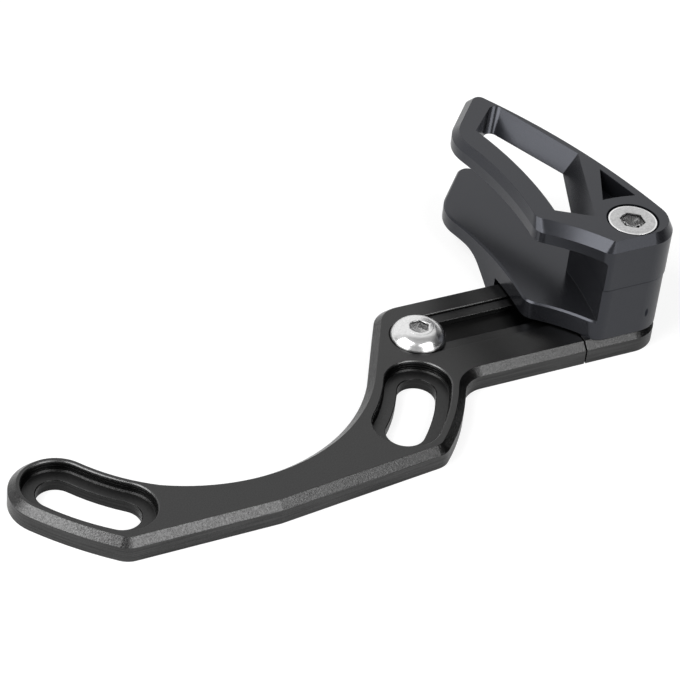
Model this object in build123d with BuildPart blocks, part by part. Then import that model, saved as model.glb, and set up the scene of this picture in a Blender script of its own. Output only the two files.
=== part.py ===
"""Bicycle chain guide: slotted back plate, forked slider, two moulded guide halves and their two screws.

Frame: the origin is the crank axis on the plate's back face, +X runs along the arm that carries the
guide, and +Z points away from the bicycle frame. All sizes are in millimetres.
"""
import os
from math import cos, degrees, radians, sin, sqrt, tan

from build123d import *

# Mount pattern about the crank axis
slot_spacing = 56.0             # between the two bolt slots, middle to middle
slot_angle = 100.0              # between the two slots, seen from the crank axis
arm_slot_angle = -37.0          # the slot beside the arm, from the arm's direction
slot_travel = 16.6              # angle that the bolt can move along a slot
slot_width = 6.2
slot_recess_width = 10.7
slot_recess_depth = 1.9
recess_foot = 0.25              # bevel round the recess's floor
slot_break = 0.12               # bevel round the slot in that floor

# Back plate, whose edges stand off the slots' middle line
plate_thickness = 3.8
plate_chamfer = 1.2
tab_margin = 7.7                # out to the outer edge of both tabs
tail_margin = 7.2               # round the tail slot's end and along its inner side
waist_margin = 8.15             # in to the waist, which clears the bottom bracket shell
root_margin = 2.15              # in to the back corner where the plate meets the arm
flank_margin = 7.85             # in to the point where the waist turns into a straight flank
waist_start_angle = -121.0      # where the waist leaves the tail tab
waist_angle = -88.5             # the waist's narrowest place
flank_angle = -27.35
foot_angle = -48.9              # corner between the arm's tab and the front edge
tail_foot_angle = -124.4        # corner between the tail tab and the front edge
front_bend = -0.3
rim_break = 0.2                 # small bevel round the recesses
break_angle = 45.0              # slope of all the small bevels
inside_corner = 5.0
outside_corner = 3.6
root_corner = 5.4

# Arm and its channel
arm_front = -18.4
arm_width = 20.45
arm_reach = 5.45                # past the guide's inner edge
channel_setback = 9.1           # from the arm's back edge to the channel's middle
channel_floor = 2.4
channel_break = 0.12

# Clamp screw, a button head in the channel's round end
clamp_setback = 3.1             # from the arm's back corner
clamp_thread = 5.0
clamp_head = 8.9
clamp_head_height = 2.35
clamp_rim = 0.45
clamp_flat = 4.1                # flat ring round the socket
clamp_dome = 7.0                # width of the dome at the height below
clamp_dome_height = 1.9
clamp_socket = 3.0              # hexagon, across flats
clamp_socket_depth = 1.6
head_clearance = 0.1            # round the head in the channel's end

# Slider, whose fork runs in the channel
slider_gap = 0.3                # between the arm's end and the slider
slider_length = 15.55
slider_corner = 5.7
slider_back_corner = 4.0
slider_taper = 2.2              # how far the end leans in towards the back
fork_thickness = 1.0
fork_clearance = 0.12           # on each side, in the channel
fork_slot = 5.1
fork_bridge = 3.75              # from the slot's end to the slider's block
fork_tip_gap = 0.3              # from the fork's tip to the channel's round end

# Moulded guide, plan outline shared by both halves
guide_inner_radius = 57.0       # edge towards the crank, about the crank axis
heel_margin = 0.3               # how far that edge stands off the radius at its heel,
rail_margin = -0.4              # at its middle
notch_margin = -0.65            # and at its notch
guide_inset = 0.3               # the moulding stands behind the slider's front
guide_end_inset = 0.4           # and behind its end
guide_corner = 5.45
guide_notch_angle = -8.9        # where the inner edge turns into the flange
guide_rail_angle = 4.0          # middle of the inner edge
flange_reach = 7.0              # front end of the flange, past the inner edge
flange_sag = 0.6
guide_side_angle = 12.4         # lean of the outer edge where it leaves the corner
tip_reach = 7.5                 # the tip, past the inner edge and from the arm's axis
tip_rise = 30.0
guide_heel_angle = 19.1         # where the slanted end meets the inner edge
guide_outer_bulge = 1.75        # rise of the outer edge over its chord
guide_tip_round = 2.1
guide_notch_round = 2.9
guide_heel_round = 7.6
guide_flange_round = 1.9        # front corner of the flange
inner_flange_round = 3.2        # the same on the inner half
inner_inset = 0.15              # the inner half stays behind the cage's edges
inner_end_inset = 0.3           # and a little more at its end

# Moulded guide, heights above the plate
inner_wall = 3.6                # thickness of the inner half's plate
throat = 12.0                   # width of the chain's way between the halves
outer_wall = 3.6                # thickness of the outer cage
inner_boss_height = 10.0        # from the slider to the parting line
arm_relief = 0.3                # under the inner half, over the arm
guide_chamfer = 0.9             # run of the cage's top bevel along its front
guide_far_chamfer = 1.4         # the same at the tip's outer edge,
guide_flange_chamfer = 1.4      # along the flange,
guide_end_chamfer = 1.3         # along the slanted end
guide_rail_chamfer = 0.5        # and along the rail
guide_chamfer_drop = 1.75
guide_edge = 0.3                # bevel of the inner half's edge towards the chain
throat_depth = 9.5              # from the inner edge to the throat's roof
throat_fillet = 0.8
boss_back = -3.5                # back end of the boss at the throat
boss_back_angle = 30.0

# Skirt of the inner half, behind the slider
skirt_gap = 0.2
skirt_bottom = 0.4
skirt_foot = 2.15
skirt_slope = 41.0
skirt_blend = 6.5
skirt_rise = 1.0                # underside behind the skirt, above the slider

# Cage window, drawn on the cage's top face from the guide's inner edge
rail_width = 4.05               # rail between the inner edge and the window
window_tip_reach = 8.4
window_tip_rise = 24.1
window_tip_round = 1.2
window_strut_reach = 14.8
window_strut_rise = 6.3
window_foot_reach = 8.5
window_foot_rise = -10.2
window_near_angle = -6.2
window_heel_angle = 16.7
window_run = 2.2                # how far its long walls lean in on the way down
window_tip_run = 2.6            # the same at the tip
window_foot_run = 2.7           # and at the foot
window_end_run = 0.3
window_near_run = 0.8

# Guide screw, countersunk, through both halves into the slider
guide_screw_inset = 1.6         # from the middle of the guide's round corner
guide_screw_rise = 5.2          # from the guide's front
guide_thread = 4.0
guide_head = 7.8
guide_socket = 3.2
guide_socket_depth = 1.9
guide_screw_tip = 0.6           # height of its end above the back face
bore_clearance = 0.15
seat_clearance = 0.08
guide_head_sink = 0.12          # head's top under the cage's top

# Pocket in the cage, drawn from the guide screw
pocket_tip = (2.1, 14.1)
pocket_left = (-1.9, 6.3)
pocket_right = (3.9, 5.7)
pocket_low = (0, 6.25)
pocket_depth = 3.0
pocket_draft = 8.0

# Sizes that follow from those above
slot_radius = slot_spacing / (2 * sin(radians(slot_angle / 2)))
tail_slot_angle = arm_slot_angle - slot_angle
tail_end_angle = tail_slot_angle - slot_travel / 2
tab_radius = slot_radius + tab_margin
recess_floor = plate_thickness - slot_recess_depth
arm_back = arm_front + arm_width
arm_root = slot_radius - root_margin
arm_end = guide_inner_radius + arm_reach
channel_middle = arm_back - channel_setback
channel_width = clamp_head + 2 * head_clearance
clamp_x = arm_root + clamp_setback
fork_top = channel_floor + fork_thickness
slider_start = arm_end + slider_gap
slider_end = slider_start + slider_length
guide_front = arm_front + guide_inset
guide_corner_x = slider_end - guide_end_inset - guide_corner
guide_screw_x = guide_corner_x - guide_screw_inset
guide_screw_y = guide_front + guide_screw_rise
guide_seat = plate_thickness
inner_face = guide_seat + inner_wall
parting = guide_seat + inner_boss_height
cage_under = inner_face + throat
cage_top = cage_under + outer_wall
bevel_foot = cage_top - guide_chamfer_drop
guide_head_top = cage_top - guide_head_sink
throat_radius = guide_inner_radius + throat_depth
skirt_front = arm_back + skirt_gap


def polar(radius, angle):
    """Point at a radius and an angle about the crank axis."""
    return (radius * cos(radians(angle)), radius * sin(radians(angle)))


def along(point, angle, length):
    """Point at a length from another, in the direction of an angle."""
    return (point[0] + length * cos(radians(angle)), point[1] + length * sin(radians(angle)))


def corner(shape, point):
    """The vertex of a sketch nearest to a point."""
    return shape.vertices().sort_by_distance(Vector(*point))[0]


def slot_line(angle):
    """Middle line of a mount slot."""
    return CenterArc((0, 0), slot_radius, angle - slot_travel / 2, slot_travel)


def leaning_corner(before, point, after, run_in, run_out):
    """Corner of an outline whose two sides have moved to their left by their runs."""
    come = (Vector(*point) - Vector(*before)).normalized()
    leave = (Vector(*after) - Vector(*point)).normalized()
    shift = run_in * Vector(-come.Y, come.X)
    gap = run_out * Vector(-leave.Y, leave.X) - shift
    return Vector(*point) + shift + come * (gap.cross(leave).Z / come.cross(leave).Z)


def guide_outline(end, rail, flange, front, far, flange_round):
    """Face of the guide's plan, with each of its edges moved in by its own run."""
    notch = polar(guide_inner_radius + notch_margin, guide_notch_angle)
    middle = polar(guide_inner_radius + rail_margin, guide_rail_angle)
    heel = polar(guide_inner_radius + heel_margin, guide_heel_angle)
    tip = (guide_inner_radius + tip_reach, tip_rise)
    flange_end = (guide_inner_radius + flange_reach, guide_front)
    corner_middle = (guide_corner_x, guide_front + guide_corner)
    corner_start = along(corner_middle, -90, guide_corner)
    corner_exit = along(corner_middle, guide_side_angle, guide_corner)
    new_flange_end = leaning_corner(notch, flange_end, corner_start, flange, front)
    new_start = along(corner_middle, -90, guide_corner - front)
    new_exit = along(corner_middle, guide_side_angle, guide_corner - front)
    new_tip = leaning_corner(corner_exit, tip, heel, far, end)
    new_heel = leaning_corner(tip, heel, middle, end, rail)
    new_notch = leaning_corner(middle, notch, flange_end, rail, flange)
    with BuildSketch() as plan:
        with BuildLine():
            Line(new_flange_end, new_start)
            ThreePointArc(new_start, along(corner_middle, -45, guide_corner - front), new_exit)
            SagittaArc(new_exit, new_tip, -guide_outer_bulge)
            Line(new_tip, new_heel)
            new_middle = polar(guide_inner_radius + rail_margin + rail, guide_rail_angle)
            ThreePointArc(new_heel, new_middle, new_notch)
            SagittaArc(new_notch, new_flange_end, flange_sag)
        make_face()
        fillet(corner(plan, new_tip), guide_tip_round - front)
        fillet(corner(plan, new_heel), guide_heel_round - front)
        fillet(corner(plan, new_notch), guide_notch_round - front)
        fillet(corner(plan, new_flange_end), flange_round)
    return plan.sketch


# Back plate: two slotted tabs, a waist round the bottom bracket shell and the arm
with BuildPart() as backplate:
    tail_centre = polar(slot_radius, tail_end_angle)
    tail_inner = polar(slot_radius - tail_margin, tail_end_angle)
    tab_start = (sqrt(tab_radius**2 - arm_front**2), arm_front)
    foot = polar(tab_radius, foot_angle)
    tail_foot = polar(tab_radius, tail_foot_angle)
    waist_start = polar(slot_radius - tail_margin, waist_start_angle)
    root = (arm_root, arm_back)
    flank = polar(slot_radius - flank_margin, flank_angle)
    with BuildSketch() as plate_plan:
        with BuildLine():
            Line((arm_end, arm_front), tab_start)
            ThreePointArc(tab_start, polar(tab_radius, (foot_angle + arm_slot_angle) / 2), foot)
            Polyline(foot, (front_bend, tail_foot[1]), tail_foot)
            tail_edge = polar(slot_radius + tail_margin, tail_end_angle)
            tail_mid = polar(slot_radius + tail_margin, tail_slot_angle)
            ThreePointArc(tail_foot, tail_mid, tail_edge)
            ThreePointArc(tail_edge, along(tail_centre, tail_end_angle - 90, tail_margin), tail_inner)
            tail_waist = polar(slot_radius - tail_margin, (tail_end_angle + waist_start_angle) / 2)
            ThreePointArc(tail_inner, tail_waist, waist_start)
            ThreePointArc(waist_start, polar(slot_radius - waist_margin, waist_angle), flank)
            Polyline(flank, root, (arm_end, arm_back), (arm_end, arm_front))
        make_face()
        fillet(corner(plate_plan, tab_start), inside_corner)
        fillet(corner(plate_plan, foot), outside_corner)
        fillet(corner(plate_plan, tail_foot), outside_corner)
        fillet(corner(plate_plan, root), root_corner)
    extrude(amount=plate_thickness)
    top_edges = backplate.faces().sort_by(Axis.Z)[-1].edges()
    chamfer(top_edges.sort_by(Axis.X)[:-1], plate_chamfer)
    for angle in (arm_slot_angle, tail_slot_angle):
        with BuildSketch(Plane.XY.offset(plate_thickness)):
            SlotArc(slot_line(angle), slot_recess_width + 2 * rim_break)
        extrude(amount=-rim_break, taper=break_angle, mode=Mode.SUBTRACT)
        with BuildSketch(Plane.XY.offset(plate_thickness)):
            SlotArc(slot_line(angle), slot_recess_width)
        extrude(amount=recess_foot - slot_recess_depth, mode=Mode.SUBTRACT)
        with BuildSketch(Plane.XY.offset(recess_floor + recess_foot)):
            SlotArc(slot_line(angle), slot_recess_width)
        extrude(amount=-recess_foot, taper=break_angle, mode=Mode.SUBTRACT)
        with BuildSketch(Plane.XY.offset(recess_floor)):
            SlotArc(slot_line(angle), slot_width + 2 * slot_break)
        extrude(amount=-slot_break, taper=break_angle, mode=Mode.SUBTRACT)
        with BuildSketch():
            SlotArc(slot_line(angle), slot_width)
        extrude(amount=plate_thickness, mode=Mode.SUBTRACT)
    with BuildSketch(Plane.XY.offset(plate_thickness)):
        with Locations((clamp_x, channel_middle)):
            Circle(channel_width / 2 + channel_break)
            Rectangle(arm_end, channel_width + 2 * channel_break, align=(Align.MIN, Align.CENTER))
    extrude(amount=-channel_break, taper=break_angle, mode=Mode.SUBTRACT)
    with BuildSketch(Plane.XY.offset(plate_thickness)):
        with Locations((clamp_x, channel_middle)):
            Circle(channel_width / 2)
            Rectangle(arm_end - clamp_x, channel_width, align=(Align.MIN, Align.CENTER))
    extrude(amount=channel_floor - plate_thickness, mode=Mode.SUBTRACT)
    with Locations((clamp_x, channel_middle, channel_floor)):
        Hole(clamp_thread / 2 + seat_clearance / 2)
backplate.part.label = "backplate"

# Slider: a block that butts on the arm, with a fork that runs in the channel under the clamp screw
with BuildPart() as slider:
    slider_back = slider_end - slider_taper
    with BuildSketch() as slider_plan:
        with BuildLine():
            Polyline(
                (slider_start, arm_front),
                (slider_end, arm_front),
                (slider_back, arm_back),
                (slider_start, arm_back),
                close=True,
            )
        make_face()
        fillet(corner(slider_plan, (slider_end, arm_front)), slider_corner)
        fillet(corner(slider_plan, (slider_back, arm_back)), slider_back_corner)
    extrude(amount=plate_thickness)
    block_edges = slider.faces().sort_by(Axis.Z)[-1].edges()
    chamfer(block_edges.sort_by(Axis.X)[1:], plate_chamfer)
    with BuildSketch(Plane.XY.offset(channel_floor)):
        fork_half = channel_width / 2 - fork_clearance
        with Locations((clamp_x, channel_middle)):
            Circle(channel_width / 2 - fork_tip_gap)
            Rectangle(slider_start - clamp_x, 2 * fork_half, align=(Align.MIN, Align.CENTER))
        with Locations((slider_start - fork_bridge - fork_slot / 2, channel_middle)):
            Circle(fork_slot / 2, mode=Mode.SUBTRACT)
            Rectangle(slider_start, fork_slot, align=(Align.MAX, Align.CENTER), mode=Mode.SUBTRACT)
    extrude(amount=fork_thickness)
    with Locations((guide_screw_x, guide_screw_y, plate_thickness)):
        Hole(guide_thread / 2 + seat_clearance / 2)
slider.part.label = "slider"

# The chain's way between the halves: a ring about the crank axis, open towards it, with a rounded roof
with BuildPart() as chain_way:
    with BuildSketch(Plane.XZ) as way_profile:
        with Locations((throat_radius, inner_face)):
            Rectangle(throat_radius / 2, throat, align=(Align.MAX, Align.MIN))
        fillet(way_profile.vertices().group_by(Axis.X)[-1], throat_fillet)
    revolve(axis=Axis.Z)

# Room behind the boss, where the two halves stand apart
with BuildPart() as boss_room:
    with BuildSketch(Plane.XY.offset(inner_face)):
        with Locations(Location((throat_radius, boss_back, 0), boss_back_angle)):
            Rectangle(throat_radius, throat_radius, align=(Align.CENTER, Align.MIN))
    extrude(amount=throat)

# Inner half: a plate behind the chain, the lower part of the boss and a skirt behind the slider
with BuildPart() as inner_guide:
    inner_plan = guide_outline(
        inner_end_inset,
        inner_inset,
        inner_inset,
        inner_inset,
        0,
        inner_flange_round,
    )
    with BuildSketch(Plane.XY.offset(skirt_bottom)):
        add(inner_plan)
    extrude(amount=inner_face - skirt_bottom)
    chain_edge = inner_guide.edges().sort_by_distance((guide_inner_radius, 0, inner_face))[0]
    chamfer(chain_edge, guide_edge)
    with BuildSketch(Plane.XY.offset(inner_face - guide_edge)):
        add(inner_plan)
        Circle(throat_radius, mode=Mode.SUBTRACT)
        with Locations(Location((throat_radius, boss_back, 0), boss_back_angle)):
            Rectangle(throat_radius, throat_radius, align=(Align.CENTER, Align.MIN), mode=Mode.SUBTRACT)
    extrude(amount=parting - inner_face + guide_edge)
    with BuildSketch(Plane.YZ) as underside:
        behind_skirt = guide_seat + skirt_rise
        skirt_toe = (skirt_front + skirt_foot, skirt_bottom)
        skirt_run = (behind_skirt - skirt_bottom) / tan(radians(skirt_slope))
        skirt_end = (skirt_toe[0] + skirt_run, behind_skirt)
        with BuildLine():
            Polyline(
                skirt_toe,
                skirt_end,
                (guide_inner_radius, behind_skirt),
                (guide_inner_radius, 0),
                close=True,
            )
        make_face()
        fillet(corner(underside, skirt_end), skirt_blend)
        with BuildLine():
            Polyline(
                (skirt_front, 0),
                (skirt_front, guide_seat),
                (-guide_inner_radius, guide_seat),
                (-guide_inner_radius, 0),
                close=True,
            )
        make_face()
    extrude(amount=2 * guide_inner_radius, mode=Mode.SUBTRACT)
    with BuildSketch(Plane.XY.offset(guide_seat)):
        with Locations((slider_start, skirt_front)):
            Rectangle(arm_end, arm_end, align=(Align.MAX, Align.MAX))
    extrude(amount=arm_relief, mode=Mode.SUBTRACT)
    with Locations((guide_screw_x, guide_screw_y, parting)):
        Hole(guide_thread / 2 + bore_clearance)
inner_guide.part.label = "inner_guide"

# Outer half: an open cage over the chain and the upper part of the boss
with BuildPart() as outer_guide:
    cage_plan = guide_outline(0, 0, 0, 0, 0, guide_flange_round)
    with BuildSketch(Plane.XY.offset(parting)):
        add(cage_plan)
    extrude(amount=bevel_foot - parting)
    with BuildSketch(Plane.XY.offset(bevel_foot)):
        add(cage_plan)
    with BuildSketch(Plane.XY.offset(cage_top)):
        add(
            guide_outline(
                guide_end_chamfer,
                guide_rail_chamfer,
                guide_flange_chamfer,
                guide_chamfer,
                guide_far_chamfer,
                guide_flange_round - guide_flange_chamfer,
            )
        )
    loft(ruled=True)
    add(chain_way.part, mode=Mode.SUBTRACT)
    add(boss_room.part, mode=Mode.SUBTRACT)
    near_radius = guide_inner_radius + notch_margin + rail_width
    middle_radius = guide_inner_radius + rail_margin + rail_width
    heel_radius = guide_inner_radius + heel_margin + rail_width
    window_near = polar(near_radius, window_near_angle)
    window_foot = (guide_inner_radius + window_foot_reach, window_foot_rise)
    window_strut = (guide_inner_radius + window_strut_reach, window_strut_rise)
    window_tip = (guide_inner_radius + window_tip_reach, window_tip_rise)
    window_heel = polar(heel_radius, window_heel_angle)
    near_turn = degrees(window_near_run / near_radius)
    end_turn = degrees(window_end_run / heel_radius)
    low_near = polar(near_radius + window_near_run, window_near_angle + near_turn)
    low_foot = leaning_corner(window_near, window_foot, window_strut, window_near_run, window_foot_run)
    low_strut = leaning_corner(window_foot, window_strut, window_tip, window_run, window_run)
    low_tip = leaning_corner(window_strut, window_tip, window_heel, window_tip_run, window_end_run)
    low_heel = polar(heel_radius + window_near_run, window_heel_angle - end_turn)
    with BuildSketch(Plane.XY.offset(cage_top)) as window_mouth:
        with BuildLine():
            Polyline(window_near, window_foot, window_strut, window_tip, window_heel)
            ThreePointArc(window_heel, polar(middle_radius, guide_rail_angle), window_near)
        make_face()
        fillet(corner(window_mouth, window_tip), window_tip_round)
    with BuildSketch(Plane.XY.offset(cage_under)) as window_floor:
        with BuildLine():
            Polyline(low_near, low_foot, low_strut, low_tip, low_heel)
            ThreePointArc(low_heel, polar(middle_radius + window_near_run, guide_rail_angle), low_near)
        make_face()
        fillet(corner(window_floor, low_tip), window_tip_round)
    loft(ruled=True, mode=Mode.SUBTRACT)
    with BuildSketch(Plane(origin=(guide_screw_x, guide_screw_y, cage_top))):
        with BuildLine():
            Polyline(pocket_left, pocket_tip, pocket_right)
            ThreePointArc(pocket_right, pocket_low, pocket_left)
        make_face()
    extrude(amount=-pocket_depth, taper=pocket_draft, mode=Mode.SUBTRACT)
    with Locations((guide_screw_x, guide_screw_y, cage_top)):
        CounterSinkHole(guide_thread / 2 + bore_clearance, guide_head / 2 + guide_head_sink + seat_clearance)
outer_guide.part.label = "outer_guide"

# Clamp screw: button head over the fork, thread in the arm
with BuildPart() as clamp_screw:
    with BuildSketch(Plane.XZ):
        head_top = fork_top + clamp_head_height
        rim_top = (clamp_head / 2, fork_top + clamp_rim)
        dome = (clamp_dome / 2, fork_top + clamp_dome_height)
        with BuildLine():
            Polyline(
                (clamp_flat / 2, head_top),
                (0, head_top),
                (0, 0),
                (clamp_thread / 2, 0),
                (clamp_thread / 2, fork_top),
                (clamp_head / 2, fork_top),
                rim_top,
            )
            ThreePointArc(rim_top, dome, (clamp_flat / 2, head_top))
        make_face()
    revolve(axis=Axis.Z)
    with BuildSketch(Plane.XY.offset(head_top)):
        RegularPolygon(clamp_socket / 2, 6, major_radius=False)
    extrude(amount=-clamp_socket_depth, mode=Mode.SUBTRACT)
clamp_screw.part.label = "clamp_screw"

# Guide screw: countersunk head in the cage, thread in the slider
with BuildPart() as guide_screw:
    with BuildSketch(Plane.XZ):
        head_depth = (guide_head - guide_thread) / 2
        with BuildLine():
            Polyline(
                (0, guide_head_top),
                (0, guide_screw_tip),
                (guide_thread / 2, guide_screw_tip),
                (guide_thread / 2, guide_head_top - head_depth),
                (guide_head / 2, guide_head_top),
                close=True,
            )
        make_face()
    revolve(axis=Axis.Z)
    with BuildSketch(Plane.XY.offset(guide_head_top)):
        RegularPolygon(guide_socket / 2, 6, major_radius=False)
    extrude(amount=-guide_socket_depth, mode=Mode.SUBTRACT)
guide_screw.part.label = "guide_screw"

clamp_screw.part.locate(Location((clamp_x, channel_middle, 0)))
guide_screw.part.locate(Location((guide_screw_x, guide_screw_y, 0)))

os.makedirs("parts", exist_ok=True)
export_step(backplate.part, "parts/backplate.step")
export_step(slider.part, "parts/slider.step")
export_step(clamp_screw.part, "parts/clamp_screw.step")
export_step(inner_guide.part, "parts/inner_guide.step")
export_step(outer_guide.part, "parts/outer_guide.step")
export_step(guide_screw.part, "parts/guide_screw.step")
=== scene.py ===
"""Bicycle chain guide: its finishes, its two screws and the studio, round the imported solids."""
import math

import bpy
from mathutils import Matrix, Vector


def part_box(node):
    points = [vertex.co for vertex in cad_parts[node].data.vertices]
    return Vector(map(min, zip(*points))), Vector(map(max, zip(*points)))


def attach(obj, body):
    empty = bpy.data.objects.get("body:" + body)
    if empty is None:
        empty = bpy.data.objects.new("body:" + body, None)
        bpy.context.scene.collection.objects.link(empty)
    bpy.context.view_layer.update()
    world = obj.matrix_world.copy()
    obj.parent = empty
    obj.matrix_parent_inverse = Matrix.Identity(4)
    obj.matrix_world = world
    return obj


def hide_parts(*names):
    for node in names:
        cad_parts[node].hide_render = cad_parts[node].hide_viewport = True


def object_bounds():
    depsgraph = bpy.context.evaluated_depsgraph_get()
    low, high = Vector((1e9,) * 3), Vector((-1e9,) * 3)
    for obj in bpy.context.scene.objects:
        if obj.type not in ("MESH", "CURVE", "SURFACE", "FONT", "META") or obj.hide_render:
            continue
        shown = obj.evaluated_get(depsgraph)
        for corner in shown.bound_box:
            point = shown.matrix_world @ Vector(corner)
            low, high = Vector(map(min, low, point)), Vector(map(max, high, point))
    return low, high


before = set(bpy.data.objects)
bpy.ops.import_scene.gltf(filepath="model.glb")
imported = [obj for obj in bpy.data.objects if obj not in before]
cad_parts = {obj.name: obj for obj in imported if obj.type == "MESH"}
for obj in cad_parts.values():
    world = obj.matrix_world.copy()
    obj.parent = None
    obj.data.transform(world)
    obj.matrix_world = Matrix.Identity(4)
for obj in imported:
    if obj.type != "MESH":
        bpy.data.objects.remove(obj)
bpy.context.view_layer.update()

MM = 0.001                      # the sizes below are in millimetres, the scene is in metres

# Clamp screw: a button head over the slider's fork
CLAMP_HEAD = 9.1
CLAMP_HEAD_HEIGHT = 2.35
CLAMP_DOME = 2.4                # radius of the dome's round shoulder
CLAMP_FLAT = 4.4                # flat ring round the socket, which stands just above the dome
CLAMP_FLAT_STEP = 0.03
CLAMP_UNDERCUT = 0.25           # bevel under the head's rim
CLAMP_SHANK = 5.0
CLAMP_SOCKET = 3.0              # hexagon, across flats
CLAMP_SOCKET_DEPTH = 1.5
CLAMP_SOCKET_MOUTH = 3.3
CLAMP_SOCKET_TURN = 30.0
DOME_STEPS = 12

# Guide screw: a countersunk head in the cage
GUIDE_HEAD = 8.0
GUIDE_HEAD_LAND = 0.3
GUIDE_HEAD_EDGE = 0.1
GUIDE_SHANK = 4.0
GUIDE_SOCKET = 3.7
GUIDE_SOCKET_DEPTH = 2.4
GUIDE_SOCKET_MOUTH = 3.95
GUIDE_SOCKET_TURN = -6.0

# Both screws
SCREW_SIDES = 72
SCREW_EDGE = 0.05               # bevel of the sharp edges
SCREW_EDGE_STEPS = 2
SCREW_EDGE_ANGLE = 32.0         # edges sharper than this are bevelled,
SCREW_SMOOTH_ANGLE = 28.0       # and those blunter than this are shaded smooth
SHANK_BEVEL = 0.45
MOUTH_SLOPE = 28.0              # of the cone that leads into a socket
MOUTH_START = 0.3               # radius where that cone starts, as a share of the hexagon
MOUTH_OVERRUN = 0.3             # how far the cone's cutter reaches past the mouth
DRILL = 0.46                    # radius of the drilled floor, as a share of the hexagon
DRILL_POINT = 0.02              # radius of the drill's point,
DRILL_DEPTH = 0.3               # and its depth as a share of the hexagon

# Milled places on the plate; a pair gives the two ends of a fade
SLOT_RADIUS = 36.55             # of the mount slots' middle lines, about the crank axis
SLOT_ANGLES = (-137.0, -37.0)
SLOT_HALF_TRAVEL = 8.3
RECESS_EDGE = (5.5, 5.6)        # from a slot's middle line to the end of its recess
RIM_EDGE = (5.7, 5.75)          # and to the end of the recess's rim
RECESS_FOOT = (2.2, 2.25)       # height where the bevel at the foot of a recess's wall ends
CUTTER_START = 2.3              # height of the lowest line that the cutter left round a recess
CUTTER_STEP = 0.47
CUTTER_LINE = (0.1, 0.4)        # width of such a line, as a share of the step
CHANNEL_LOW = (2.2, 2.25)       # heights that only the channel's floor lies between
CHANNEL_HIGH = (3.0, 3.05)
PLATE_RIM = (3.4, 3.45)         # height over which only the plate's top and its rims lie
HEAD_SHADOW_RING = (4.72, 4.78)         # radius of the painted shadow ring round the clamp screw's head

# Places on the cage
SEAM = 13.8                     # height of the parting between the cage's halves
SEAM_EDGE = (0.088, 0.132)      # half of the seam's width
SEAT_SHADOW = (4.22, 4.3)              # radius of the painted shadow at the guide screw's seat
GATE_MARK = Vector((73.3, -17.9, 7.3))  # a small dark mark that the mould left on the boss
GATE_MARK_SIZE = Vector((0.34, 0.8, 0.85))
GATE_MARK_EDGE = (0.7, 1.1)     # as a share of its half sizes

# Places in a screw's socket
SOCKET_REACH = (0.58, 0.62)     # radius where it ends, as a share of the hexagon
SOCKET_TOP = (-0.25, -0.15)     # height of its walls' top, from the head's top
SHADE_LINE_LOW = (-0.55, -0.45)       # and of the lower end of the painted shade line under the mouth

# How level a face lies: 0 is upright, 1 is level
UPRIGHT = (0.15, 0.35)
STEEP = (0.75, 0.85)
SLOPING = (0.93, 0.97)
LEVEL = (0.9, 0.95)
SMOOTH_LEVEL = (0.85, 0.97)     # where the blasting's grain gives way to a level face
NOT_UNDERSIDE = (-0.6, -0.4)    # below this a face looks down

# Black anodising: sizes of its grains, then tones with painted shade and painted highlights,
# gloss and relief
BLAST_SIZE = 0.2
SPECKLE_SIZE = 0.3
PATCH_SIZE = 9.0
MILL_LINE = (12.0, 0.3)         # length and width of the milling lines on upright faces
RUBBED_SIZE = 1.2
PLATE_EDGE = 0.14               # radius of the rounded edges
RUBBED_TURN = (0.70, 0.88)      # how far an edge turns where it is rubbed bright
RUBBED_LEAST = 0.2
BLACK_TONE = (0.053, 0.069)
MILL_LINE_TONE = 0.016
SPECKLE_TONE = 0.018
# painted shade: the four below darken the slot walls, the recess walls, the bevel at their foot
# and the channel floor
SLOT_WALL_PAINTED_SHADE = 0.55
RECESS_WALL_PAINTED_SHADE = 0.72
FOOT_PAINTED_SHADE = 0.3
CHANNEL_PAINTED_SHADE = 0.36
# painted shadow ring round the clamp screw's head
HEAD_SHADOW_TONE = 0.1
# painted highlight on the cutter lines
CUTTER_HIGHLIGHT_TONE = 0.02
# painted highlight on the recess rims
RECESS_RIM_HIGHLIGHT_TONE = 0.05
RUBBED_TONE = 0.09
SATIN = (0.20, 0.25)
PATCH_SATIN = 0.04
LEVEL_SATIN = 0.07
RECESS_SATIN = 0.12
BLAST_DEPTH = 0.038
LEVEL_BLAST = 0.1               # share of the relief that is left on level faces
MILL_LINE_RELIEF = 0.8
CUTTER_RELIEF = 1.3

# Black moulded plastic
MOULD_SIZE = 0.18
FLOW_SIZE = 14.0
PLASTIC_DARK = (0.0067, 0.0070, 0.0082)
PLASTIC_LIGHT = (0.0086, 0.0089, 0.0104)
PLASTIC_MATT = (0.18, 0.23)
FLOW_MATT = 0.04
SEAT_MATT = 0.75
PLASTIC_GLOSS = 0.52
PLASTIC_GLOSS_TINT = (0.86, 0.89, 1.0, 1)
CAGE_EDGE = 0.07                # radius of the rounded edges
MOULD_DEPTH = 0.006
MOULD_STRENGTH = 0.3

# Bright stainless
RING_WIDTH = 0.16               # of the rings that turning left
WEAR_SIZE = 0.35
CLAMP_TONE = (0.7392, 0.84)     # worn and clean
GUIDE_TONE = (0.4524, 0.58)
GUIDE_RIM_HIGHLIGHT_INSIDE = (0.38, 0.28)       # how far inside the guide head's rim its painted highlight starts
GUIDE_RIM_HIGHLIGHT_TONE = 0.88
# painted shade inside the sockets
SOCKET_SHADE_TONE = 0.56
# painted shade line under a socket's mouth
SHADE_LINE_TONE = 0.12
STAINLESS_POLISH = (0.18, 0.26)
SOCKET_POLISH = 0.04
RING_DEPTH = 0.004
RING_STRENGTH = 0.25

# Shared by the finishes
PLAIN_DETAIL = 2.0              # layers of a noise
FINE_DETAIL = 3.0
NOISE_SPREAD = (0.3, 0.7)       # most of a noise's values lie between these
EDGE_SAMPLES = 6                # rays that feel for an edge to round

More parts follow.
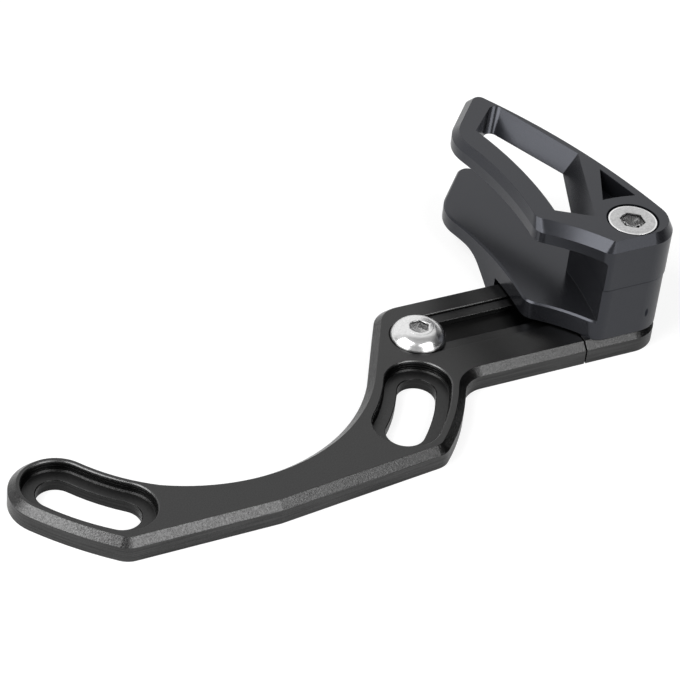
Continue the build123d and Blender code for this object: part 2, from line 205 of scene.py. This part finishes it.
# Camera at the photograph's angle
CAMERA_PLACE = Vector((-158.3, -317.3, 284.8)) * MM
CAMERA_AIM = Vector((25.12, -3.80, 3.8)) * MM
CAMERA_RIGHT = Vector((0.8934, -0.4396, 0.0927))
CAMERA_LENS = 152.8
CAMERA_SENSOR = 36.0
CAMERA_CLIP = 0.01

# Studio
FLOOR_GAP = 0.05 * MM
FLOOR_SIZE = 3.0
FLOOR_WHITE = (0.88, 0.88, 0.88, 1)
FLOOR_PALE = (0.35, 0.35, 0.35, 1)      # under the glow below, for the camera
FLOOR_GLOW = 0.75               # white that the floor adds for the camera
BACKDROP = Vector((0.08, 0.95, 0.31))   # from the object to the middle of the white backdrop
BACKDROP_EDGE = 36.0            # angles from that middle at which it starts and ends to fade
BACKDROP_FADE = 62.0
ROOM_GREY = 0.42                # the room beside the backdrop, in reflections
DARK_SIDE = Vector((0.94, -0.30, 0.15))  # from the object to the room's dark side
DARK_SIDE_EDGE = (0.55, 0.9)    # cosines of the angles from it between which it fades
DARK_SIDE_DROP = 0.36
ROOM_LIGHT = 0.22               # the room as light
STUDIO_CENTRE = Vector((20.0, -8.0, 5.0)) * MM
LAMP_DISTANCE = 0.8
LAMPS = (                       # azimuth, elevation, width, height and radiance
    ("left_softbox", -175, 48, 0.53, 0.42, 5.7),
    ("left_card", -178, 14, 0.75, 0.52, 3.4),
    ("front_softbox", -72, 44, 0.52, 0.38, 4.5),
    ("front_card", -73, 9, 0.60, 0.45, 2.0),
)


def clear_selection():
    """Leaves nothing selected, so that an operator acts on the new piece alone."""
    bpy.ops.object.select_all(action="DESELECT")


def apply_modifiers(piece):
    """Applies every modifier of a piece, first to last."""
    clear_selection()
    piece.select_set(True)
    bpy.context.view_layer.objects.active = piece
    for modifier in list(piece.modifiers):
        bpy.ops.object.modifier_apply(modifier=modifier.name)


def cut_away(piece, cutter):
    """Takes a cutter's shape out of a piece and removes the cutter."""
    modifier = piece.modifiers.new("cut", "BOOLEAN")
    modifier.operation = "DIFFERENCE"
    modifier.solver = "EXACT"
    modifier.object = cutter
    apply_modifiers(piece)
    bpy.data.objects.remove(cutter)


def turned_up(name, axis, rings):
    """A round piece grown from its lowest ring; each ring is a radius and a height."""
    clear_selection()
    radius, height = rings[0]
    bpy.ops.mesh.primitive_circle_add(
        vertices=SCREW_SIDES,
        radius=radius * MM,
        fill_type="NGON",
        location=(axis.x, axis.y, height * MM),
    )
    piece = bpy.context.object
    piece.name = name
    bpy.ops.object.mode_set(mode="EDIT")
    bpy.ops.mesh.select_all(action="SELECT")
    for next_radius, next_height in rings[1:]:
        rise = (0, 0, (next_height - height) * MM)
        bpy.ops.mesh.extrude_region_move(TRANSFORM_OT_translate={"value": rise})
        share = next_radius / radius
        middle = (axis.x, axis.y, next_height * MM)
        bpy.ops.transform.resize(value=(share, share, 1), center_override=middle)
        radius, height = next_radius, next_height
    bpy.ops.mesh.select_all(action="SELECT")
    bpy.ops.mesh.normals_make_consistent(inside=False)
    bpy.ops.object.mode_set(mode="OBJECT")
    bpy.ops.object.transform_apply(location=True, rotation=True, scale=True)
    return piece


def hexagon_socket(screw, axis, top, across, depth, mouth, turn):
    """Broaches a hexagon socket with a coned mouth and a drilled floor into a screw's head."""
    clear_selection()
    bpy.ops.mesh.primitive_cylinder_add(
        vertices=6,
        radius=across / math.sqrt(3) * MM,
        depth=2 * depth * MM,
        location=(axis.x, axis.y, top * MM),
        rotation=(0, 0, math.radians(turn)),
    )
    cut_away(screw, bpy.context.object)
    cut_away(screw, turned_up("drill", axis, [
        (DRILL_POINT, top - depth - DRILL_DEPTH * across),
        (DRILL * across, top - depth + DRILL_POINT),
        (DRILL * across, top - depth / 2),
    ]))
    slope = math.tan(math.radians(MOUTH_SLOPE))
    start = MOUTH_START * across
    cut_away(screw, turned_up("mouth", axis, [
        (start, top - (mouth / 2 - start) * slope),
        (mouth / 2, top),
        (mouth / 2 + MOUTH_OVERRUN, top + MOUTH_OVERRUN * slope),
    ]))


def finish_edges(piece):
    """Breaks a screw's sharp edges and shades it smooth up to them."""
    modifier = piece.modifiers.new("edge", "BEVEL")
    modifier.width = SCREW_EDGE * MM
    modifier.segments = SCREW_EDGE_STEPS
    modifier.limit_method = "ANGLE"
    modifier.angle_limit = math.radians(SCREW_EDGE_ANGLE)
    modifier.use_clamp_overlap = True
    apply_modifiers(piece)
    bpy.ops.object.shade_smooth_by_angle(angle=math.radians(SCREW_SMOOTH_ANGLE))


def middle_of(node):
    """Middle of a CAD node's box, and its lowest and highest height in millimetres."""
    low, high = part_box(node)
    return (low + high) / 2, low.z / MM, high.z / MM


def button_screw():
    """The clamp screw: a domed button head with a hexagon socket in a flat ring."""
    axis, bottom, top = middle_of("clamp_screw")
    seat = top - CLAMP_HEAD_HEIGHT
    rings = [
        (CLAMP_SHANK / 2 - SHANK_BEVEL, bottom),
        (CLAMP_SHANK / 2, bottom + SHANK_BEVEL),
        (CLAMP_SHANK / 2, seat),
        (CLAMP_HEAD / 2 - CLAMP_UNDERCUT, seat),
        (CLAMP_HEAD / 2, seat + CLAMP_UNDERCUT),
    ]
    # The dome is a round shoulder from the head's rim to just under the flat ring
    crest = top - CLAMP_FLAT_STEP
    middle = CLAMP_FLAT / 2 + CLAMP_FLAT_STEP
    rim_angle = math.acos((CLAMP_HEAD / 2 - middle) / CLAMP_DOME)
    for step in range(DOME_STEPS + 1):
        angle = rim_angle + (math.pi / 2 - rim_angle) * step / DOME_STEPS
        height = crest - CLAMP_DOME * (1 - math.sin(angle))
        rings.append((middle + CLAMP_DOME * math.cos(angle), height))
    rings.append((CLAMP_FLAT / 2, top))
    screw = turned_up("clamp_screw_turned", axis, rings)
    hexagon_socket(
        screw,
        axis,
        top,
        CLAMP_SOCKET,
        CLAMP_SOCKET_DEPTH,
        CLAMP_SOCKET_MOUTH,
        CLAMP_SOCKET_TURN,
    )
    finish_edges(screw)
    return screw, axis, top


def countersunk_screw():
    """The guide screw: a flat countersunk head with a hexagon socket."""
    axis, bottom, top = middle_of("guide_screw")
    cone = (GUIDE_HEAD - GUIDE_SHANK) / 2
    screw = turned_up("guide_screw_turned", axis, [
        (GUIDE_SHANK / 2 - SHANK_BEVEL, bottom),
        (GUIDE_SHANK / 2, bottom + SHANK_BEVEL),
        (GUIDE_SHANK / 2, top - GUIDE_HEAD_LAND - cone),
        (GUIDE_HEAD / 2, top - GUIDE_HEAD_LAND),
        (GUIDE_HEAD / 2, top - GUIDE_HEAD_EDGE),
        (GUIDE_HEAD / 2 - GUIDE_HEAD_EDGE, top),
    ])
    hexagon_socket(
        screw,
        axis,
        top,
        GUIDE_SOCKET,
        GUIDE_SOCKET_DEPTH,
        GUIDE_SOCKET_MOUTH,
        GUIDE_SOCKET_TURN,
    )
    finish_edges(screw)
    return screw, axis, top


class Nodes:
    """A node tree under way, with short ways to add and join its nodes."""

    def __init__(self, tree):
        self.nodes = tree.nodes
        self.links = tree.links

    def add(self, kind, **settings):
        """A new node of a kind."""
        node = self.nodes.new(kind)
        for key, value in settings.items():
            setattr(node, key, value)
        return node

    def join(self, output, socket):
        """Leads an output into a socket."""
        self.links.new(output, socket)

    def value(self, kind, first, second=None):
        """A sum of a kind on one or two numbers, given as sockets or as plain values."""
        node = self.add("ShaderNodeMath", operation=kind)
        for socket, number in zip(node.inputs, (first, second)):
            if isinstance(number, (int, float)):
                socket.default_value = number
            elif number is not None:
                self.join(number, socket)
        return node.outputs[0]

    def product(self, first, *others):
        """All the numbers times each other."""
        for other in others:
            first = self.value("MULTIPLY", first, other)
        return first

    def plus(self, first, second, share):
        """The first number plus a share of the second."""
        return self.value("ADD", first, self.value("MULTIPLY", second, share))

    def between(self, factor, low, high, spread=NOISE_SPREAD, steps="LINEAR"):
        """A number that goes from low to high as the factor crosses the spread."""
        node = self.add("ShaderNodeMapRange", interpolation_type=steps)
        node.inputs["From Min"].default_value = spread[0]
        node.inputs["From Max"].default_value = spread[1]
        node.inputs["To Min"].default_value = low
        node.inputs["To Max"].default_value = high
        self.join(factor, node.inputs["Value"])
        return node.outputs["Result"]

    def within(self, distance, fade):
        """One up to the start of a fade in millimetres, and nothing past its end."""
        return self.between(distance, 1, 0, [end * MM for end in fade])

    def beyond(self, distance, fade):
        """Nothing up to the start of a fade in millimetres, and one past its end."""
        return self.between(distance, 0, 1, [end * MM for end in fade])

    def along(self, vector, direction):
        """How far a vector points along a direction, given as a socket or a plain vector."""
        node = self.add("ShaderNodeVectorMath", operation="DOT_PRODUCT")
        self.join(vector, node.inputs[0])
        if isinstance(direction, Vector):
            node.inputs[1].default_value = direction.normalized()
        else:
            self.join(direction, node.inputs[1])
        return node.outputs["Value"]

    def mixed(self, factor, first, second):
        """The first shader where the factor is nothing, and the second where it is one."""
        node = self.add("ShaderNodeMixShader")
        self.join(factor, node.inputs[0])
        self.join(first.outputs[0], node.inputs[1])
        self.join(second.outputs[0], node.inputs[2])
        return node.outputs[0]


class Finish(Nodes):
    """A material under way, which reads places and directions on its own piece."""

    def __init__(self, name):
        self.material = bpy.data.materials.new(name)
        self.material.use_nodes = True
        super().__init__(self.material.node_tree)
        self.shader = self.nodes["Principled BSDF"]
        coordinates = self.add("ShaderNodeTexCoord").outputs
        self.place = coordinates["Object"]
        self.facing = coordinates["Normal"]

    def set(self, socket, number):
        """Sets a socket of the shader to a plain value."""
        self.shader.inputs[socket].default_value = number

    def lead(self, output, socket):
        """Leads an output into a socket of the shader."""
        self.join(output, self.shader.inputs[socket])

    def noise(self, size, detail=PLAIN_DETAIL, place=None):
        """Noise whose grains are about a size across, in millimetres."""
        node = self.add("ShaderNodeTexNoise")
        node.inputs["Scale"].default_value = 1 / (size * MM)
        node.inputs["Detail"].default_value = detail
        self.join(place or self.place, node.inputs["Vector"])
        return node.outputs["Fac"]

    def turned_rings(self, radius, width):
        """Noise in rings of about a width, in millimetres."""
        node = self.add("ShaderNodeTexNoise", noise_dimensions="1D")
        node.inputs["Scale"].default_value = 1 / (width * MM)
        self.join(radius, node.inputs["W"])
        return node.outputs["Fac"]

    def level_lines(self, length, width):
        """Noise in long grains that lie level, with their two sizes in millimetres."""
        return self.noise(1.0, place=self.moved((0, 0, 0), (1 / length, 1 / length, 1 / width)))

    def tint(self, factor, dark, light):
        """A colour that goes from dark to light with a noise."""
        node = self.add("ShaderNodeValToRGB")
        for stop, place, colour in zip(node.color_ramp.elements, NOISE_SPREAD, (dark, light)):
            stop.position = place
            stop.color = (*colour, 1)
        self.join(factor, node.inputs["Fac"])
        return node.outputs["Color"]

    def grey(self, tone):
        """A grey of a tone."""
        node = self.add("ShaderNodeCombineColor")
        for socket in ("Red", "Green", "Blue"):
            self.join(tone, node.inputs[socket])
        return node.outputs["Color"]

    def turning(self, factor, first, second):
        """A number that turns from the first into the second, a plain value or a socket."""
        node = self.add("ShaderNodeMix", data_type="FLOAT")
        self.join(factor, node.inputs["Factor"])
        self.join(first, node.inputs["A"])
        if isinstance(second, float):
            node.inputs["B"].default_value = second
        else:
            self.join(second, node.inputs["B"])
        return node.outputs["Result"]

    def part(self, vector, axis):
        """One of the X, Y and Z parts of a vector."""
        node = self.add("ShaderNodeSeparateXYZ")
        self.join(vector, node.inputs["Vector"])
        return node.outputs[axis]

    def moved(self, shift, scale):
        """The place on the piece, scaled and then shifted."""
        node = self.add("ShaderNodeMapping")
        node.inputs["Location"].default_value = shift
        node.inputs["Scale"].default_value = scale
        self.join(self.place, node.inputs["Vector"])
        return node.outputs["Vector"]

    def length(self, vector):
        """Length of a vector."""
        node = self.add("ShaderNodeVectorMath", operation="LENGTH")
        self.join(vector, node.inputs[0])
        return node.outputs["Value"]

    def from_axis(self, axis):
        """Distance from an upright axis."""
        return self.length(self.moved((-axis.x, -axis.y, 0), (1, 1, 0)))

    def from_spot(self, spot, size):
        """Distance from a spot, as a share of its half sizes, all in millimetres."""
        shift = [-place / half for place, half in zip(spot, size)]
        return self.length(self.moved(shift, [1 / (half * MM) for half in size]))

    def from_slot(self, angle):
        """Distance from the middle line of the mount slot at an angle about the crank axis."""
        x, y = (self.part(self.place, side) for side in "XY")
        turn = self.value("ARCTAN2", y, x)
        turn = self.value("MAXIMUM", turn, math.radians(angle - SLOT_HALF_TRAVEL))
        turn = self.value("MINIMUM", turn, math.radians(angle + SLOT_HALF_TRAVEL))
        aside = self.add("ShaderNodeCombineXYZ")
        for side, start, kind in (("X", x, "COSINE"), ("Y", y, "SINE")):
            off_line = self.plus(start, self.value(kind, turn), -SLOT_RADIUS * MM)
            self.join(off_line, aside.inputs[side])
        return self.length(aside.outputs["Vector"])

    def rounded(self, edge):
        """The surface's direction with every edge rounded by a radius in millimetres."""
        node = self.add("ShaderNodeBevel", samples=EDGE_SAMPLES)
        node.inputs["Radius"].default_value = edge * MM
        return node.outputs["Normal"]

    def grain(self, height, depth, strength, normal=None):
        """Relief of a depth in millimetres, with its strength as a plain value or a socket."""
        bump = self.add("ShaderNodeBump")
        bump.inputs["Distance"].default_value = depth * MM
        if isinstance(strength, float):
            bump.inputs["Strength"].default_value = strength
        else:
            self.join(strength, bump.inputs["Strength"])
        self.join(height, bump.inputs["Height"])
        if normal:
            self.join(normal, bump.inputs["Normal"])
        self.lead(bump.outputs["Normal"], "Normal")


def anodised_black(screw_axis):
    """Black anodised aluminium: satin flats, speckled bevels, recesses with cutter lines, and
    painted shade and highlights in the recesses, the channel and round the clamp screw's head.
    """
    finish = Finish("anodised_black")
    blast = finish.noise(BLAST_SIZE, FINE_DETAIL)
    mill_lines = finish.level_lines(*MILL_LINE)
    height = finish.part(finish.place, "Z")
    facing_up = finish.part(finish.facing, "Z")
    levelness = finish.value("ABSOLUTE", facing_up)
    upright = finish.between(levelness, 1, 0, UPRIGHT)
    level = finish.between(facing_up, 0, 1, LEVEL)
    leaning = finish.value("SUBTRACT", finish.value("SUBTRACT", 1, upright), level)

    # Recesses round the mount slots: their walls and the bevel at the walls' foot, which get
    # painted shade, and the rims, which get a painted highlight
    from_slots = finish.value("MINIMUM", *(finish.from_slot(angle) for angle in SLOT_ANGLES))
    looking_up = finish.between(facing_up, 0, 1, NOT_UNDERSIDE)
    recess = finish.product(finish.within(from_slots, RECESS_EDGE), looking_up)
    slot_walls = finish.product(recess, upright)
    # Painted shade at the foot of the recess walls, darker than the walls
    foot = finish.product(recess, finish.within(height, RECESS_FOOT), leaning)
    steep = finish.between(levelness, 1, 0, STEEP)
    recess_walls = finish.product(recess, finish.beyond(height, RECESS_FOOT), steep)
    near_top = finish.beyond(height, PLATE_RIM)
    sloping = finish.between(levelness, 1, 0, SLOPING)
    recess_rim_highlight = finish.product(near_top, finish.within(from_slots, RIM_EDGE), sloping)

    # Painted shade on the floor of the channel that the slider runs in, and a painted shadow ring
    # round the clamp screw's head
    over, under = finish.beyond(height, CHANNEL_LOW), finish.within(height, CHANNEL_HIGH)
    channel_shade = finish.product(over, under, level)
    head_shadow = finish.product(finish.within(finish.from_axis(screw_axis), HEAD_SHADOW_RING), near_top)

    # Lines that the cutter left round the recesses' walls, one step above the other; their relief
    # is real and their lighter tone is a painted highlight
    climb = finish.value("SUBTRACT", height, CUTTER_START * MM)
    climb = finish.value("FRACT", finish.value("DIVIDE", climb, CUTTER_STEP * MM))
    cutter = finish.product(recess_walls, finish.between(climb, 1, 0, CUTTER_LINE))

    # Edges that are rubbed bright here and there
    rounded = finish.rounded(PLATE_EDGE)
    true_facing = finish.add("ShaderNodeNewGeometry").outputs["True Normal"]
    edges = finish.between(finish.along(rounded, true_facing), 1, 0, RUBBED_TURN)
    rubbed = finish.product(edges, finish.between(finish.noise(RUBBED_SIZE), RUBBED_LEAST, 1))

    tone = finish.between(blast, *BLACK_TONE)
    for grains, faces, gain in (
        (mill_lines, upright, MILL_LINE_TONE),
        (finish.noise(SPECKLE_SIZE), leaning, SPECKLE_TONE),
    ):
        tone = finish.plus(tone, finish.product(finish.between(grains, -1, 1), faces), gain)
    # Painted shade in the slots, the recesses, at the recess walls' foot and on the channel floor
    for place, shade in (
        (slot_walls, SLOT_WALL_PAINTED_SHADE),
        (recess_walls, RECESS_WALL_PAINTED_SHADE),
        (foot, FOOT_PAINTED_SHADE),
        (channel_shade, CHANNEL_PAINTED_SHADE),
    ):
        tone = finish.product(tone, finish.between(place, 1, shade, (0, 1)))
    # Painted highlights on the cutter lines and the recess rims; the rubbed edges are wear
    for place, gain in ((cutter, CUTTER_HIGHLIGHT_TONE), (recess_rim_highlight, RECESS_RIM_HIGHLIGHT_TONE), (rubbed, RUBBED_TONE)):
        tone = finish.plus(tone, place, gain)
    # Painted shadow ring round the clamp screw's head
    tone = finish.product(tone, finish.between(head_shadow, 1, HEAD_SHADOW_TONE, (0, 1)))
    finish.lead(finish.grey(tone), "Base Color")

    satin = finish.plus(finish.between(blast, *SATIN), finish.noise(PATCH_SIZE), PATCH_SATIN)
    satin = finish.plus(satin, level, LEVEL_SATIN)
    satin = finish.plus(satin, finish.product(recess, level), RECESS_SATIN)
    finish.lead(satin, "Roughness")
    finish.set("Metallic", 1.0)

    relief = finish.plus(blast, finish.product(mill_lines, upright), MILL_LINE_RELIEF)
    relief = finish.plus(relief, cutter, CUTTER_RELIEF)
    strength = finish.between(levelness, 1, LEVEL_BLAST, SMOOTH_LEVEL)
    finish.grain(relief, BLAST_DEPTH, strength, rounded)
    return finish.material


def moulded_plastic(screw_axis):
    """Black moulded plastic with its mould's fine grain, a painted shadow round the screw's seat,
    a dark seam and a gate mark.
    """
    finish = Finish("moulded_plastic")
    mould = finish.noise(MOULD_SIZE, FINE_DETAIL)
    flow = finish.noise(FLOW_SIZE)
    finish.lead(finish.tint(flow, PLASTIC_DARK, PLASTIC_LIGHT), "Base Color")
    # A painted shadow round the screw's seat, dark and matt
    seat = finish.within(finish.from_axis(screw_axis), SEAT_SHADOW)
    matt = finish.plus(finish.between(mould, *PLASTIC_MATT), flow, FLOW_MATT)
    finish.lead(finish.plus(matt, seat, SEAT_MATT), "Roughness")
    finish.set("Specular IOR Level", PLASTIC_GLOSS)
    finish.set("Specular Tint", PLASTIC_GLOSS_TINT)

    # The painted shadow round the screw's seat, the parting seam and the gate mark send back no
    # light
    off_seam = finish.value("SUBTRACT", finish.part(finish.place, "Z"), SEAM * MM)
    seam = finish.within(finish.value("ABSOLUTE", off_seam), SEAM_EDGE)
    gate = finish.between(finish.from_spot(GATE_MARK, GATE_MARK_SIZE), 1, 0, GATE_MARK_EDGE)
    dark = finish.value("MAXIMUM", finish.value("MAXIMUM", seat, seam), gate)
    finish.lead(dark, "Metallic")
    finish.grain(mould, MOULD_DEPTH, MOULD_STRENGTH, finish.rounded(CAGE_EDGE))
    return finish.material


def turned_stainless(name, axis, top, socket, tones, highlighted_rim=None):
    """Bright stainless: rings of turning round the screw's axis, painted shade in the broached
    socket, and a painted highlight round the head's rim where one is given.
    """
    finish = Finish(name)
    radius = finish.from_axis(axis)
    height = finish.value("SUBTRACT", finish.part(finish.place, "Z"), top * MM)
    rings = finish.turned_rings(radius, RING_WIDTH)
    tone = finish.between(finish.noise(WEAR_SIZE, FINE_DETAIL), *tones)
    # A painted highlight round the guide head's rim
    if highlighted_rim:
        guide_rim_highlight = finish.beyond(radius, [highlighted_rim - inside for inside in GUIDE_RIM_HIGHLIGHT_INSIDE])
        tone = finish.turning(guide_rim_highlight, tone, GUIDE_RIM_HIGHLIGHT_TONE)

    # Painted shade inside the socket, near the axis and below its mouth, with a darker painted
    # shade line just under the mouth
    near = finish.within(radius, [socket * share for share in SOCKET_REACH])
    below_mouth = finish.within(height, SOCKET_TOP)
    broached = finish.product(near, below_mouth)
    shade_line = finish.product(finish.beyond(height, SHADE_LINE_LOW), below_mouth)
    socket_shade = finish.between(shade_line, SOCKET_SHADE_TONE, SHADE_LINE_TONE, (0, 1))
    finish.lead(finish.grey(finish.turning(broached, tone, socket_shade)), "Base Color")

    gloss = finish.between(rings, *STAINLESS_POLISH)
    finish.lead(finish.plus(gloss, broached, SOCKET_POLISH), "Roughness")
    finish.set("Metallic", 1.0)
    finish.grain(rings, RING_DEPTH, RING_STRENGTH)
    return finish.material


def set_finish(piece, material):
    """Gives a whole piece one material."""
    piece.data.materials.clear()
    piece.data.materials.append(material)


def studio_floor():
    """A plain white floor that keeps a faint shadow."""
    clear_selection()
    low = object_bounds()[0].z - FLOOR_GAP
    bpy.ops.mesh.primitive_plane_add(size=FLOOR_SIZE, location=(0, 0, low))
    floor = bpy.context.object
    floor.name = "floor"
    finish = Finish("floor_white")
    finish.nodes.remove(finish.shader)
    lit = finish.add("ShaderNodeBsdfDiffuse")
    lit.inputs["Color"].default_value = FLOOR_WHITE
    pale = finish.add("ShaderNodeBsdfDiffuse")
    pale.inputs["Color"].default_value = FLOOR_PALE
    glow = finish.add("ShaderNodeEmission")
    glow.inputs["Strength"].default_value = FLOOR_GLOW
    shown = finish.add("ShaderNodeAddShader")
    finish.join(pale.outputs[0], shown.inputs[0])
    finish.join(glow.outputs[0], shown.inputs[1])
    camera_ray = finish.add("ShaderNodeLightPath").outputs["Is Camera Ray"]
    surface = finish.nodes["Material Output"].inputs["Surface"]
    finish.join(finish.mixed(camera_ray, lit, shown), surface)
    set_finish(floor, finish.material)


def studio_world():
    """A grey room with a white backdrop behind the object; the camera sees white all round."""
    world = bpy.data.worlds.new("studio")
    bpy.context.scene.world = world
    world.use_nodes = True
    room = Nodes(world.node_tree)
    direction = room.add("ShaderNodeTexCoord").outputs["Generated"]
    backdrop = room.between(
        room.along(direction, BACKDROP),
        ROOM_GREY,
        1,
        [math.cos(math.radians(angle)) for angle in (BACKDROP_FADE, BACKDROP_EDGE)],
        "SMOOTHSTEP",
    )
    dark_side = room.between(
        room.along(direction, DARK_SIDE), 0, DARK_SIDE_DROP, DARK_SIDE_EDGE, "SMOOTHSTEP"
    )
    path = room.add("ShaderNodeLightPath").outputs
    shade = room.value("SUBTRACT", backdrop, dark_side)
    white = room.nodes["Background"]
    white.inputs["Color"].default_value = (1, 1, 1, 1)
    shown = room.value("MAXIMUM", shade, path["Is Camera Ray"])
    room.join(shown, white.inputs["Strength"])
    lit = room.add("ShaderNodeBackground")
    lit.inputs["Color"].default_value = (ROOM_LIGHT, ROOM_LIGHT, ROOM_LIGHT, 1)
    # The camera, reflections and glass see the room; the rest takes its light
    seen = path["Is Camera Ray"]
    for ray in ("Is Glossy Ray", "Is Transmission Ray"):
        seen = room.value("MAXIMUM", seen, path[ray])
    room.join(room.mixed(seen, lit, white), room.nodes["World Output"].inputs["Surface"])


def softbox(name, azimuth, elevation, width, height, radiance):
    """A soft rectangular lamp that faces the object from two angles given in degrees."""
    lamp = bpy.data.lights.new(name, "AREA")
    lamp.shape = "RECTANGLE"
    lamp.size = width
    lamp.size_y = height
    lamp.energy = radiance * math.pi * width * height
    box = bpy.data.objects.new(name, lamp)
    bpy.context.scene.collection.objects.link(box)
    turn, rise = math.radians(azimuth), math.radians(elevation)
    towards = Vector((
        math.cos(rise) * math.cos(turn), math.cos(rise) * math.sin(turn), math.sin(rise)
    ))
    box.location = STUDIO_CENTRE + towards * LAMP_DISTANCE
    box.rotation_euler = towards.to_track_quat("Z", "Y").to_euler()


def photo_camera():
    """The camera at the photograph's place and angle."""
    data = bpy.data.cameras.new("camera")
    data.lens = CAMERA_LENS
    data.sensor_width = CAMERA_SENSOR
    data.clip_start = CAMERA_CLIP
    camera = bpy.data.objects.new("camera", data)
    bpy.context.scene.collection.objects.link(camera)
    back = (CAMERA_PLACE - CAMERA_AIM).normalized()
    up = back.cross(CAMERA_RIGHT).normalized()
    right = up.cross(back)
    turn = Matrix((right, up, back)).transposed().to_4x4()
    camera.matrix_world = Matrix.Translation(CAMERA_PLACE) @ turn
    bpy.context.scene.camera = camera


anodised = anodised_black(middle_of("clamp_screw")[0])
plastic = moulded_plastic(middle_of("guide_screw")[0])
for part in ("backplate", "slider"):
    set_finish(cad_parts[part], anodised)
for part in ("inner_guide", "outer_guide"):
    set_finish(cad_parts[part], plastic)

clamp, clamp_axis, clamp_top = button_screw()
set_finish(clamp, turned_stainless(
    "clamp_stainless", clamp_axis, clamp_top, CLAMP_SOCKET, CLAMP_TONE
))
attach(clamp, "plate")
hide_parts("clamp_screw")

cage_screw, cage_axis, cage_top = countersunk_screw()
set_finish(cage_screw, turned_stainless(
    "guide_stainless", cage_axis, cage_top, GUIDE_SOCKET, GUIDE_TONE, GUIDE_HEAD / 2
))
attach(cage_screw, "carrier")
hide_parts("guide_screw")

studio_floor()
studio_world()
for lamp in LAMPS:
    softbox(*lamp)
photo_camera()
bpy.context.scene.view_settings.view_transform = "Standard"
